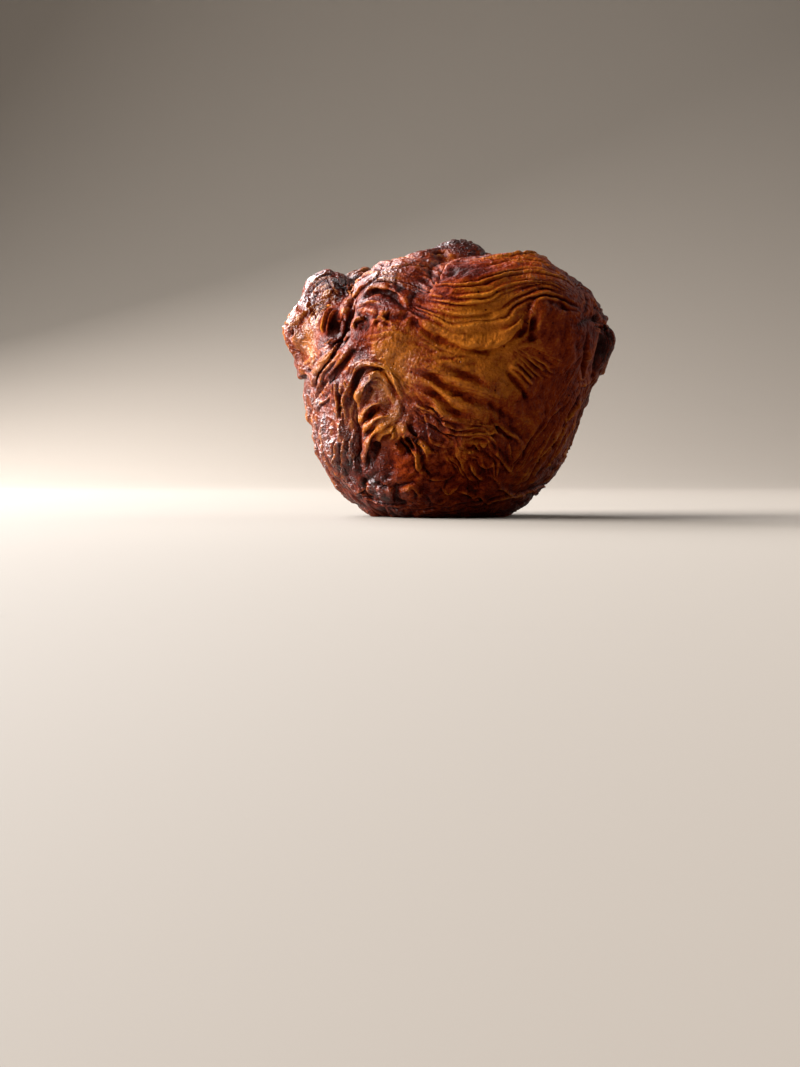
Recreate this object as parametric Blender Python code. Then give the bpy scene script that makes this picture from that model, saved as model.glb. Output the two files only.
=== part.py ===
"""Kouign amann: one laminated, caramelised pastry, baked in a tapered tin and turned out.

A square of layered, sugared dough is pressed into a round tin and its corners are folded in
to the middle. In the oven the folds swell into a dome above the rim, and two corners spill
over it as knobs. The whole pastry is one solid of dough, so it is one node.

Blender metres, +Z up. The origin is on the surface that the pastry stands on, at the middle
of its base, and -Y is its front.
"""

import math

import bmesh
import bpy
from mathutils import Euler, Matrix, Vector, noise

MM = 0.001

# The bowl: the part of the dough that the tin shaped.
BASE_RADIUS = 15.0 * MM
RIM_RADIUS = 40.0 * MM
RIM_HEIGHT = 50.0 * MM
CROWN_HEIGHT = 61.0 * MM
WALL_ROUNDING = 1.75  # how fast the wall turns up from the base
WALL_FULLNESS = 1.9  # how soon it reaches the rim's radius
BASE_LEAN = -1.8 * MM  # the base sits a little to the left of the rim
RING_SPREAD = 1.5  # above 1 puts more of the rings near the base, where the wall turns fastest
WALL_RINGS = 30
CROWN_RINGS = 12
SEGMENTS = 96

# The dough is uneven: slow bulges all over it.
BULGE_HEIGHT = 1.1 * MM
BULGE_WAVELENGTH = 17.0 * MM
BULGE_CENTRE_HEIGHT = 35.0 * MM  # bulges push away from this point on the axis
BULGE_FADE_HEIGHT = 8.0 * MM  # and fade out below this height, where the base is flat

# The swollen folds: (centre, half sizes, squareness, turn in degrees), sizes in millimetres.
FOLDS = {
    "front_flap": ((12.5, -9.5, 50.2), (26.5, 29.5, 18.6), 2.35, (0, 0, 8)),
    "front_flap_roll": ((6.0, -25.0, 54.5), (17.0, 15.5, 9.5), 2.2, (0, -8, 0)),
    "left_flap": ((-9.5, -8.0, 49.5), (19.5, 28.0, 18.6), 2.1, (0, 0, -10)),
    "golden_bulge": ((-13.0, -22.0, 46.0), (13.5, 17.0, 10.0), 2.2, (0, 0, 0)),
    "right_tab": ((26.0, -22.5, 51.5), (8.5, 9.0, 9.0), 2.3, (0, 0, 30)),
    "right_shoulder": ((24.0, -3.0, 52.4), (16.9, 14.5, 12.4), 2.3, (0, 16, 0)),
    "back_flap": ((14.5, 18.5, 49.0), (21.0, 20.0, 18.8), 2.3, (0, 0, -30)),
    "back_roll": ((-11.0, 20.5, 50.0), (18.0, 18.0, 16.5), 2.2, (0, 8, 24)),
    "left_back_fold": ((-23.5, 8.0, 58.2), (7.0, 11.0, 9.2), 2.3, (0, 0, 0)),
    "middle_knot": ((2.0, 2.0, 64.6), (9.4, 9.5, 10.8), 2.1, (0, 0, 20)),
    "middle_lip": ((-6.5, -2.0, 65.2), (8.5, 8.5, 7.2), 2.2, (0, -18, 0)),
    "left_pleats": ((-21.5, -4.0, 24.0), (14.4, 20.0, 17.0), 2.1, (0, 18, 0)),
}

# The two corners that spilled over the rim, each a cluster of rounded lumps.
KNOBS = {
    "left_knob_cap": ((-32.6, -5.0, 59.6), (7.0, 8.2, 7.0), 2.4, (0, -22, 0)),
    "left_knob_side": ((-38.0, -6.0, 51.0), (6.4, 8.6, 8.0), 2.3, (0, 14, 0)),
    "left_knob_root": ((-36.4, -6.0, 44.0), (4.6, 7.0, 7.5), 2.2, (0, -12, 0)),
    "right_knob_cap": ((39.4, 2.0, 47.4), (5.4, 8.2, 6.2), 2.4, (0, 12, 0)),
    "right_knob_root": ((38.4, 1.0, 41.0), (4.0, 7.0, 6.4), 2.2, (0, 22, 0)),
}

# The rolls: layers that buckled against the tin. Each runs over the wall through three places,
# (degrees round from the front, positive to the right; height in millimetres).
ROLLS = {
    "arch": ((-70, 31), (-38, 54), (-17, 26)),
    "arch_inside": ((-50, 30), (-34, 43), (-24, 24)),
    "hollow_brow": ((-36, 12), (-26, 38), (-6, 17)),
    "pleat_left": ((-88, 9), (-84, 24), (-80, 42)),
    "pleat_left_front": ((-62, 8), (-64, 20), (-66, 36)),
    "slope_upper": ((-22, 42), (2, 40), (28, 30)),
    "slope_lower": ((-16, 36), (2, 31), (22, 27)),
    "foot_curl": ((8, 20), (34, 26), (24, 6)),
    "right_stay": ((38, 12), (52, 22), (70, 38)),
    "right_back_stay": ((84, 8), (96, 24), (92, 42)),
    "back_arch": ((118, 16), (146, 62), (172, 18)),
    "back_arch_inside": ((132, 14), (148, 42), (160, 16)),
    "back_slope": ((176, 42), (200, 36), (228, 22)),
    "back_slope_lower": ((178, 30), (200, 26), (222, 12)),
    "left_back_pleat": ((250, 10), (246, 26), (252, 44)),
}
ROLL_RADIUS = 3.6 * MM
ROLL_PROUD = 1.3 * MM  # how far a roll stands out of the wall
ROLL_TAPER = 0.45  # a roll's ends are this share of its radius
ROLL_STEPS = 26

FOLD_FINENESS = 4  # subdivisions of the sphere that each fold is made from
ROLL_FINENESS = 3

# Fusing the folds into one skin, and the flat spot that it stands on.
FUSE_CELL = 1.5 * MM
SOFTEN_STEPS = 2
FACET_SHARE = 0.31
CUTTER_SIZE = 120.0 * MM
CUTTER_DEPTH = 20.0 * MM
BASE_TRIM = 0.5 * MM  # dough that lies below the standing plane and is pressed flat

CRUST_COLOUR = (0.235, 0.075, 0.018, 1.0)
CRUST_ROUGHNESS = 0.38


def clear_scene():
    for obj in list(bpy.data.objects):
        bpy.data.objects.remove(obj, do_unlink=True)


def crust_material():
    material = bpy.data.materials.new("caramelised_crust")
    material.use_nodes = True
    shader = material.node_tree.nodes["Principled BSDF"]
    shader.inputs["Base Color"].default_value = CRUST_COLOUR
    shader.inputs["Roughness"].default_value = CRUST_ROUGHNESS
    shader.inputs["Metallic"].default_value = 0.0
    return material


def wall_radius(height):
    """Radius of the tin-shaped wall: a quarter of a superellipse from base to rim."""
    rise = 1.0 - (1.0 - height / RIM_HEIGHT) ** WALL_ROUNDING
    return BASE_RADIUS + (RIM_RADIUS - BASE_RADIUS) * rise ** (1.0 / WALL_FULLNESS)


def bowl_profile():
    """(radius, height) of each ring, from the base up the wall and over the crown."""
    profile = []
    for i in range(WALL_RINGS + 1):
        height = RIM_HEIGHT * (i / WALL_RINGS) ** RING_SPREAD
        profile.append((wall_radius(height), height - BASE_TRIM))
    for i in range(1, CROWN_RINGS):
        angle = math.pi / 2 * i / CROWN_RINGS
        height = RIM_HEIGHT + (CROWN_HEIGHT - RIM_HEIGHT) * math.sin(angle)
        profile.append((RIM_RADIUS * math.cos(angle), height))
    return profile


def uneven(point):
    """The point moved in or out by the dough's slow bulges."""
    outward = (point - Vector((0.0, 0.0, BULGE_CENTRE_HEIGHT))).normalized()
    bulge = noise.noise(point / BULGE_WAVELENGTH)
    fade = min(1.0, max(0.0, point.z / BULGE_FADE_HEIGHT))
    return point + outward * (BULGE_HEIGHT * bulge * fade)


def add_bowl(mesh):
    rings = []
    for radius, height in bowl_profile():
        lean = BASE_LEAN * max(0.0, 1.0 - height / RIM_HEIGHT)
        ring = []
        for i in range(SEGMENTS):
            angle = 2 * math.pi * i / SEGMENTS
            point = Vector((lean + radius * math.cos(angle), radius * math.sin(angle), height))
            ring.append(mesh.verts.new(uneven(point)))
        rings.append(ring)
    for lower, upper in zip(rings, rings[1:]):
        for i in range(SEGMENTS):
            after = (i + 1) % SEGMENTS
            mesh.faces.new((lower[i], lower[after], upper[after], upper[i]))
    mesh.faces.new(list(reversed(rings[0])))
    mesh.faces.new(rings[-1])


def add_fold(mesh, centre, half_sizes, squareness, turn):
    """A closed superellipsoid: the swollen end of one fold of dough."""
    made = bmesh.ops.create_icosphere(mesh, subdivisions=FOLD_FINENESS, radius=1.0)
    turned = Euler([math.radians(a) for a in turn]).to_matrix()
    for vertex in made["verts"]:
        reach = sum(abs(c) ** squareness for c in vertex.co) ** (1.0 / squareness)
        point = Vector([c / reach * size * MM for c, size in zip(vertex.co, half_sizes)])
        vertex.co = uneven(turned @ point + Vector(centre) * MM)


def add_roll(mesh, places):
    """A bead of dough along a curve on the wall, thinner at its ends."""
    start, middle, end = (Vector(place) for place in places)
    for i in range(ROLL_STEPS + 1):
        t = i / ROLL_STEPS
        turn, height = start * (1 - t) ** 2 + middle * (2 * t * (1 - t)) + end * t**2
        height *= MM
        radius = ROLL_RADIUS * (ROLL_TAPER + (1 - ROLL_TAPER) * math.sin(math.pi * t))
        reach = wall_radius(min(height, RIM_HEIGHT)) + ROLL_PROUD * radius / ROLL_RADIUS - radius
        lean = BASE_LEAN * max(0.0, 1.0 - height / RIM_HEIGHT)
        turn = math.radians(turn)
        centre = Vector((lean + reach * math.sin(turn), -reach * math.cos(turn), height))
        made = bmesh.ops.create_icosphere(mesh, subdivisions=ROLL_FINENESS, radius=radius)
        bmesh.ops.translate(mesh, verts=made["verts"], vec=uneven(centre))


def make_pastry(material):
    """All the folds in one mesh, fused into one skin by a voxel remesh."""
    mesh = bmesh.new()
    add_bowl(mesh)
    for fold in [*FOLDS.values(), *KNOBS.values()]:
        add_fold(mesh, *fold)
    for places in ROLLS.values():
        add_roll(mesh, places)
    data = bpy.data.meshes.new("kouign_amann")
    mesh.to_mesh(data)
    mesh.free()
    pastry = bpy.data.objects.new("kouign_amann", data)
    bpy.context.scene.collection.objects.link(pastry)
    data.materials.append(material)

    fuse = pastry.modifiers.new("fuse", "REMESH")
    fuse.mode = "VOXEL"
    fuse.voxel_size = FUSE_CELL
    fuse.use_smooth_shade = True
    soften = pastry.modifiers.new("soften", "SMOOTH")
    soften.iterations = SOFTEN_STEPS
    facets = pastry.modifiers.new("facets", "DECIMATE")
    facets.ratio = FACET_SHARE
    return pastry


def press_base_flat(pastry):
    """Cuts the dough off level at the surface that it stands on."""
    data = bpy.data.meshes.new("floor_cutter")
    mesh = bmesh.new()
    place = Matrix.Translation((0.0, 0.0, -CUTTER_DEPTH / 2))
    size = Matrix.Diagonal((CUTTER_SIZE, CUTTER_SIZE, CUTTER_DEPTH, 1.0))
    bmesh.ops.create_cube(mesh, size=1.0, matrix=place @ size)
    mesh.to_mesh(data)
    mesh.free()
    cutter = bpy.data.objects.new("floor_cutter", data)
    bpy.context.scene.collection.objects.link(cutter)
    cutter.hide_render = True
    cutter.display_type = "WIRE"
    cut = pastry.modifiers.new("flat_base", "BOOLEAN")
    cut.operation = "DIFFERENCE"
    cut.object = cutter


clear_scene()
press_base_flat(make_pastry(crust_material()))
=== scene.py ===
import math

import bpy
import numpy as np
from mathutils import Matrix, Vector
from mathutils.bvhtree import BVHTree
from mathutils.kdtree import KDTree


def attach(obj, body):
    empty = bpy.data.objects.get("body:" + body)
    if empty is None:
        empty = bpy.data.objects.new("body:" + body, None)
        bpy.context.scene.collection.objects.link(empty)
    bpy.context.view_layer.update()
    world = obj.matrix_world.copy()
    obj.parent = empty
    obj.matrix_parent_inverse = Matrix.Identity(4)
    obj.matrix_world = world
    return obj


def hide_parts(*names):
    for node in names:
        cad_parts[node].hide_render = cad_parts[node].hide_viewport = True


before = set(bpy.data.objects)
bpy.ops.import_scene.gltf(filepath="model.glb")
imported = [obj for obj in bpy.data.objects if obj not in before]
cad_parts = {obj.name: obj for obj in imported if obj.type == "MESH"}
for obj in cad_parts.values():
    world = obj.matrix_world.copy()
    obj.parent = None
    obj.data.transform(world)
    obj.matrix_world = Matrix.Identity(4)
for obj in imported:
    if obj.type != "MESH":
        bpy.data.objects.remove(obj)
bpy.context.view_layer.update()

# The dough. One square of laminated, sugared dough, pressed into a tapered tin with its corners
# folded over the top, and baked until it set. Its skin starts from the solid and is cut fine
# enough to carry every pleat; all that follows is worked out in millimetres.
MM = 0.001
DOUGH_CELL = 0.50  # mm between the skin's points while the folds are formed
SKIN_CELL = 0.27  # mm between them while the pleats are formed
MOST_TRIANGLES = 196000
SOFTEN_ROUNDS = 14  # rounds of smoothing that take off the solid's facets

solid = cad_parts["kouign_amann"]
crust = bpy.data.objects.new("crust", solid.data.copy())
bpy.context.scene.collection.objects.link(crust)
crust.data.materials.clear()
bpy.ops.object.select_all(action="DESELECT")
bpy.context.view_layer.objects.active = crust
crust.select_set(True)
bpy.ops.object.mode_set(mode="EDIT")
bpy.ops.mesh.select_all(action="SELECT")
bpy.ops.mesh.remove_doubles(threshold=0.001 * MM)
bpy.ops.object.mode_set(mode="OBJECT")


def shape_with(kind, **settings):
    """Gives the crust a modifier with these settings and applies it."""
    modifier = crust.modifiers.new(kind.lower(), kind)
    for name, value in settings.items():
        setattr(modifier, name, value)
    bpy.ops.object.modifier_apply(modifier=modifier.name)


shape_with("SUBSURF", levels=1, render_levels=1)
shape_with("REMESH", mode="VOXEL", voxel_size=DOUGH_CELL * MM)
shape_with("SMOOTH", iterations=SOFTEN_ROUNDS)


def read_skin():
    """Takes the skin's points and normals into arrays, and makes it ready to be met by sight lines."""
    global place, normal, rise, shift, sight
    mesh = crust.data
    place = np.empty(len(mesh.vertices) * 3)
    mesh.vertices.foreach_get("co", place)
    place = place.reshape(-1, 3) / MM
    normal = np.empty(len(mesh.vertices) * 3)
    mesh.vertices.foreach_get("normal", normal)
    normal = normal.reshape(-1, 3)
    rise = np.zeros(len(place))
    shift = np.zeros_like(place)
    sight = BVHTree.FromObject(crust, bpy.context.evaluated_depsgraph_get())


def write_skin():
    """Moves the skin's points by the rise and shift that have been gathered, and keeps it on the table."""
    moved = place + normal * rise[:, None] + shift
    moved[:, 2] = np.maximum(moved[:, 2], 0.0)
    crust.data.vertices.foreach_set("co", (moved * MM).ravel())
    crust.data.update()


# Setting marks on the dough. A mark is drawn as someone looking at one side sees it: so many
# millimetres to the right of the middle and above the table, and a line is written right, up,
# right, up. A side is the viewer's turn round the pastry in degrees, or "top" or "base", where
# the places are plain x and y.
EYE_DISTANCE = 430.0
EYE_HEIGHT = 12.0
LINE_STEP = 0.4  # mm between the places worked out along a line
LEAF_REACH = 4.5  # times its width that a leaf's gap reaches


def on_dough(side, flat):
    """The places on the skin that a viewer on that side sees at each (right, up), in mm."""
    met = []
    for right, up in flat:
        if side == "top":
            eye, aim = Vector((right, up, 200.0)), Vector((right, up, 0.0))
        elif side == "base":
            eye, aim = Vector((right, up, -100.0)), Vector((right, up, 40.0))
        else:
            turn = math.radians(side)
            eye = Vector((EYE_DISTANCE * math.sin(turn), -EYE_DISTANCE * math.cos(turn), EYE_HEIGHT))
            aim = Vector((right * math.cos(turn), right * math.sin(turn), up))
        hit, across, _, _ = sight.ray_cast(eye * MM, (aim - eye).normalized())
        if hit is None:
            hit, across, _, _ = sight.find_nearest(aim * MM)
        met.append((*(hit / MM), *across))
    met = np.array(met)
    return met[:, :3], met[:, 3:]


def smooth_line(points, steps):
    """A smooth line through the points, as an array of that many steps."""
    p = np.array(points, float)
    p = np.vstack([2 * p[0] - p[1], p, 2 * p[-1] - p[-2]])
    t = np.linspace(0, len(p) - 3, steps)
    i = np.minimum(t.astype(int), len(p) - 4)
    f = (t - i)[:, None]
    a, b, c, d = p[i], p[i + 1], p[i + 2], p[i + 3]
    return 0.5 * (2 * b + (c - a) * f + (2 * a - 5 * b + 4 * c - d) * f**2 + (3 * b - a - 3 * c + d) * f**3)


def length_of(points):
    """How long the line through the points is, in mm."""
    return np.linalg.norm(np.diff(np.array(points, float), axis=0), axis=1).sum()


def nearest_of(samples, reach):
    """Skin points within reach of the samples, and for each of them its nearest sample."""
    box = np.all((place > samples.min(0) - reach) & (place < samples.max(0) + reach), axis=1)
    chosen = np.nonzero(box)[0]
    tree = KDTree(len(samples))
    for i, sample in enumerate(samples):
        tree.insert(sample, i)
    tree.balance()
    found = [tree.find(point) for point in place[chosen].tolist()]
    near = np.array([f[1] for f in found], int)
    close = np.array([f[2] for f in found]) < reach
    return chosen[close], near[close]


def beside_line(side, points, reach):
    """Skin points near a line: their numbers, how far along it from 0 to 1, how far to its left in mm,
    and the direction of its left."""
    points = np.reshape(points, (-1, 2))
    steps = max(4, int(length_of(points) / LINE_STEP))
    middle, outward = on_dough(side, smooth_line(points, steps))
    along = np.gradient(middle, axis=0)
    along /= np.linalg.norm(along, axis=1)[:, None] + 1e-9
    left = np.cross(outward, along)
    left /= np.linalg.norm(left, axis=1)[:, None] + 1e-9
    chosen, near = nearest_of(middle, reach)
    away = place[chosen] - middle[near]
    facing = np.einsum("ij,ij->i", normal[chosen], outward[near]) > -0.2
    chosen, near, away = chosen[facing], near[facing], away[facing]
    ahead = np.einsum("ij,ij->i", away, along[near]) / LINE_STEP
    part = np.clip((near + ahead) / (steps - 1), -0.05, 1.05)
    off = np.einsum("ij,ij->i", away, left[near])
    return chosen, part, off, left[near]


def ends(part, taper):
    """1 along a line's middle, fading to 0 over its ends."""
    t = np.clip(np.minimum(part, 1 - part) / taper, 0, 1)
    return t * t * (3 - 2 * t)


def lumps(points, size, seed):
    """Smooth noise from -1 to 1 with lumps about `size` mm across."""
    lattice = np.random.default_rng(seed).uniform(-1, 1, (32, 32, 32))
    q = points / size + 100.0
    i = np.floor(q).astype(int)
    f = q - i
    f = f * f * (3 - 2 * f)
    total = np.zeros(len(q))
    for corner in np.ndindex(2, 2, 2):
        weight = np.prod(np.where(corner, f, 1 - f), axis=1)
        total += weight * lattice[tuple(((i + corner) % 32).T)]
    return total


def flap_edge(side, points, height, spread=8.0, crease=1.0, overhang=0.6, taper=0.18):
    """The edge of a layer that lies over the next. The layer is on the line's left: it stands `height`
    above the dough at the edge and sinks into it over `spread`; a crease runs under the edge."""
    chosen, part, off, left = beside_line(side, points, 3.0 * spread)
    fade = ends(part, taper)
    lip = 1 / (1 + np.exp(-off / 0.22))
    rise[chosen] += fade * height * lip * np.exp(-np.maximum(off, 0) / spread)
    rise[chosen] -= fade * crease * np.exp(-((off + 0.5) / 0.75) ** 2)
    lean = fade * overhang * lip * np.exp(-np.maximum(off, 0) / 1.6)
    shift[chosen] -= left * lean[:, None]


def groove(side, points, depth, width, taper=0.25):
    """A groove along a line, or a bead where the depth is negative."""
    chosen, part, off, left = beside_line(side, points, 3.0 * width)
    rise[chosen] -= ends(part, taper) * depth * np.exp(-((off / width) ** 2))


def leaf(side, points, height):
    """The thin free edge of one layer: it stands up along a line and leans to its right, over a dark gap.
    A higher leaf is wider, leans further and has a deeper gap."""
    width = 0.34 + 0.10 * height
    chosen, part, off, left = beside_line(side, points, LEAF_REACH * width)
    fade = ends(part, 0.3) * (0.8 + 0.5 * lumps(place[chosen], 2.2, 200))
    off = off + 0.35 * lumps(place[chosen], 3.0, 201)
    edge = fade * np.exp(-((off / width) ** 2))
    rise[chosen] += height * edge
    rise[chosen] -= 0.6 * height * fade * np.exp(-(((off + 1.7 * width) / (1.2 * width)) ** 2))
    shift[chosen] -= left * (0.5 * height * edge)[:, None]


def pit(side, right, up, radius, depth):
    """A hole that steam or a gap between layers left."""
    middle, outward = on_dough(side, [(right, up)])
    away = place - middle[0]
    distance = np.linalg.norm(away, axis=1)
    facing = normal @ outward[0] > -0.2
    rise[:] -= np.where(facing, depth * np.exp(-((distance / radius) ** 3)), 0.0)


def swell(side, right, up, radius, height):
    """Lets the dough bulge, or sink where the height is negative, round one place."""
    middle, outward = on_dough(side, [(right, up)])
    distance = np.linalg.norm(place - middle[0], axis=1)
    facing = np.clip(normal @ outward[0] + 0.3, 0, 1)
    rise[:] += height * facing * np.exp(-((distance / radius) ** 2))


# The folds at the front. A corner of the dough comes over from the top right and ends in a wide
# smile; another comes over from the left; below them the wall buckled against the tin into
# arches, a tab and a curl, and steam blew a hollow at the lower left.
FRONT, RIGHT, BACK, LEFT = 0, 90, 180, 270
read_skin()
for right, up, radius, height in (
    (41, 57, 6, 1.2), (43, 49, 5, 1.2), (34, 66, 7, -1.3), (-39, 30, 8, 0.6), (-30, 8, 7, 0.7),
    (-26, 67, 4, 1.2), (9.5, 72.5, 5, 1.4), (-15, 12, 7, 1), (-14, 47, 8, 0.8), (24, 71, 6, -1.1),
    (34.5, 65, 6, -0.9), (-18, 68, 4, -1.8), (6.5, 75, 3.5, -0.8), (43, 55, 2.4, -0.8),
    (-40.8, 38.5, 3, -1), (-36.4, 19, 5, -0.8), (35, 24, 8, -0.6), (19, 1.5, 4, -0.8), (22, 71.5, 6, -2.6),
    (35.5, 64.5, 5, -1.6), (-18.5, 68.5, 3.5, -1.8), (40.5, 57.5, 2.5, 0.9), (-16.5, 69.5, 3, -1),
    (42.6, 54.6, 2, -0.6), (-19, 7.5, 4, 1.2), (-17, 57.6, 4, 0.7), (-13.8, 12.8, 4.5, -0.9),
    (-32.4, 61.4, 2.6, 1.5), (-38.2, 60.6, 2.6, -1.1), (-1.8, 70.2, 2, -1.2),
):
    swell(FRONT, right, up, radius, height)
for edge, height, spread, crease, overhang, taper in (
    ([-12, 56.5, -6.5, 51.5, -1.2, 48.6, 5, 46.3, 10, 45.9, 14.6, 47.4, 18.9, 51,
      21.6, 56.5], 1.5, 8, 0.9, 0.8, 0.18),
    ([-27.5, 57.2, -22, 55.3, -16, 54.7, -9.5, 55.2], 0.9, 4, 0.7, 0.4, 0.18),
    ([-24.2, 59.8, -20.6, 61.9, -17.6, 61.8, -14.8, 60.5, -12.8, 58.4, -10.9, 55.8], 1.3, 5, 1.5, 0.7, 0.15),
    ([11, 70.3, 4.5, 69.9, 0.3, 68.2, -2, 64.9, -4.3, 61.9, -5.8, 59.8], 1, 5, 0.9, 0.6, 0.18),
    ([32.6, 52.5, 30.6, 58, 26.6, 60.3, 22.9, 58, 21.7, 52, 22.2, 46.5], 0.5, 5, 0.35, 0.2, 0.18),
    ([19.8, 15.5, 20.2, 18.9, 18.7, 21.6, 15.3, 24.7, 11.6, 27.9], 0.4, 5, 0.4, 0.6, 0.18),
    ([15.2, 41.2, 17.4, 38.9, 19.8, 36.2, 21.4, 33.6, 21.8, 31.4], 0.8, 4, 1.4, 0.6, 0.18),
    ([-37.1, 33.2, -36.5, 38.8, -34.3, 42.6, -30.2, 47.2, -26.5, 50.2], 1.2, 1.8, 1.2, 0.7, 0.18),
    ([-36.9, 31.8, -35.9, 34.8, -32.4, 38.6, -28.6, 43.4, -25.4, 46.8], 1.1, 1.8, 1.2, 0.7, 0.18),
    ([-23.2, 50, -22.9, 53, -25, 54.4, -26.7, 52.5, -26.4, 49.5], 1.2, 1.6, 0.9, 0.6, 0.18),
    ([-27.6, 29, -27.2, 34, -25.4, 39.6, -21.2, 41.4, -16.8, 38.8, -14.4, 34.6,
      -13.2, 31], 1.2, 3.5, 1.2, 0.5, 0.18),
    ([-4.6, 8.6, -7.4, 13, -8.6, 17.8, -10.4, 22.2, -13.2, 26], 1.3, 4, 1.1, 0.6, 0.18),
    ([-8, 9.5, -14, 7.8, -20.5, 9.4], 0.9, 4, 0.8, 0.6, 0.18),
):
    flap_edge(FRONT, edge, height, spread, crease, overhang, taper)
for slot, depth, width in (
    ([23.8, 54.8, 23.1, 51, 22.4, 46.8], 2.6, 0.8),
    ([-31, 56.6, -32.4, 53.2, -33.8, 49.2], 6, 2.7),
):
    groove(FRONT, slot, depth, width, taper=0.4)
for gap, depth, width in (
    ([22, 52.4, 20.4, 50.4, 19, 48.8], 0.9, 0.6),
    ([26.6, 58.8, 29.6, 57.9, 33, 56], 1, 0.8),
    ([6.5, 45.6, 9, 45.2, 12.5, 46], 1.8, 0.6),
    ([-25.4, 22, -25, 16, -23.8, 10.4], 1.8, 1),
    ([-26.6, 61, -27.6, 56.5, -29.3, 51.5], 2.2, 1.2),
    ([38, 54.6, 40.5, 53.7, 43.5, 54.2], 1.6, 0.7),
    ([37.6, 53, 37.8, 49, 37.6, 46, 37.2, 40, 36, 36], 1, 0.8),
    ([-13.4, 21.4, -11.8, 19, -10.2, 16.2], 4.6, 1.5),
    ([-26.4, 63, -27.4, 60.2, -28.8, 57.2], 2.8, 0.9),
    ([-27.9, 59, -28, 55.8, -28.4, 52.6, -30.4, 48.8, -33.4, 45.8], 3.8, 1.3),
    ([-20.8, 64, -17.6, 63.8, -14.8, 63.3, -12, 62.2, -9.3, 61.3, -5.6, 60.7], 1.5, 0.55),
    ([-4.8, 71.8, -2.4, 72.2, 0.2, 71], 2, 0.6),
    ([-13.6, 67.2, -11.2, 68.1, -8.4, 67.7, -5.7, 68, -2.4, 66.9], 1.6, 0.55),
    ([-23.3, 30.6, -22.4, 33.4, -21, 35.4], 2, 0.8),
    ([-22.9, 26.4, -21.4, 28.8, -19.2, 29.6], 1.7, 0.7),
    ([-23.2, 20.8, -21.2, 23.3, -19, 24.9], 1.3, 0.6),
    ([-20.6, 13.6, -20.4, 18, -19.6, 21], 1.6, 0.8),
    ([-25.6, 33.6, -25.8, 28, -25.2, 20, -24.9, 14], 1.6, 0.8),
    ([-29.9, 37, -29.8, 31, -29.6, 26], 1.2, 0.7),
    ([-18.2, 20.6, -16.9, 22.2, -15.8, 21.6], 1.2, 0.6),
):
    groove(FRONT, gap, depth, width)
for valley, depth, width in (
    ([37.6, 46, 37.5, 43, 37.2, 40, 36.9, 37], 4.5, 1),
    ([-3.4, 41, 1.6, 39.8, 5.3, 38.3, 8.5, 37, 12.1, 35.3], 1.7, 0.8),
    ([-7.4, 39.2, -4, 37.7, 0.1, 35.1, 3.8, 33, 6.9, 31.8, 11.1, 29.8], 1.5, 0.8),
    ([-8.4, 35.6, -4.9, 34.2, -1.5, 31.4, 1.1, 28.9, 3.8, 27.6, 6.8, 27], 1.5, 0.8),
    ([-9, 32.2, -5.6, 30.2, -3.4, 27.9, -1.2, 25.9, 2.2, 24.9], 1.2, 0.7),
    ([10.2, 31.2, 12, 29.8, 15.4, 27.6, 18.7, 25.2], 1.3, 0.8),
    ([10.4, 26.4, 13, 24.6, 17.9, 21], 1, 0.8),
):
    groove(FRONT, valley, depth, width, taper=0.35)
for arch, height, width in (
    ([-24.6, 28.6, -24, 33.5, -22.8, 36.4, -20.2, 38, -17.6, 36.6], 1.1, 0.8),
    ([-24.4, 24.4, -23.2, 27.8, -20.8, 30.7, -17, 31.2], 1.2, 0.8),
    ([-24.2, 21.2, -21.8, 24.8, -18.9, 26.9, -15, 27.8], 1.3, 0.9),
    ([-22.8, 12, -22.9, 17.4, -21.4, 21.5, -18.9, 23.7, -15.2, 26], 1.4, 1),
    ([-31, 39, -31.1, 34.1, -30.4, 30.7, -30.8, 25], 1.2, 0.8),
    ([-29, 39.4, -29.3, 35, -28.8, 30, -29.6, 24, -28.8, 16], 1.1, 0.9),
):
    groove(FRONT, arch, -height, width)
for ridge, height, width in (
    ([-13, 42.6, -6.6, 40.8, -1.5, 38.6, 2.7, 37, 7.4, 35.1, 11.7, 33.3, 14.6, 31.6], 1.1, 1.5),
    ([-12, 39.2, -9.6, 37.8, -5.2, 35.9, -1.2, 33.6, 3.3, 31.3, 6.9, 29.9, 10.4, 27.8], 1.1, 1.4),
    ([-12.6, 35.8, -9.9, 34.6, -6.2, 33.3, -3.6, 31.5, -1.5, 28.9, 0.6, 26.8, 4.8, 25.7,
      8.2, 25.2], 1.1, 1.3),
    ([-12.2, 32.4, -9.9, 30.4, -7.5, 29.6, -4.7, 28, -2.5, 26, -0.4, 24.6, 3.5, 23.4], 0.9, 1.1),
):
    groove(FRONT, ridge, -height, width, taper=0.3)
for crease, depth, width in (
    ([6.5, 66.4, 11, 68.6, 17, 69.7, 23, 69.4, 28.5, 67.2, 33, 64.2, 38, 59.6], 0.9, 0.6),
    ([9.5, 69.6, 15, 71.1, 21.5, 71, 27, 69.1, 32, 66, 36.5, 62.2], 0.8, 0.6),
    ([18.1, 61.5, 22.2, 63.1, 26.9, 62.2, 31.8, 60.1, 36.5, 57.9], 0.9, 0.6),
    ([24.1, 60.2, 29.1, 60, 33.2, 58.2, 36.5, 55.8], 0.8, 0.6),
    ([-23.6, 11.5, -22.6, 7, -20.4, 3], 1.4, 0.8),
    ([-14.6, 10.5, -14.2, 6.4, -15.4, 2.6], 1.4, 0.8),
):
    groove(FRONT, crease, depth, width, taper=0.3)
for right, up, radius, depth in (
    (-23.8, 52, 1.1, 1.6), (-43.7, 50.4, 1.3, 2.2), (28.4, 19.4, 0.9, 2), (-13, 3.8, 1.5, 2),
    (-36.8, 41.2, 0.7, 1.6), (-38.2, 39.4, 0.6, 1.4),
):
    pit(FRONT, right, up, radius, depth)

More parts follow.
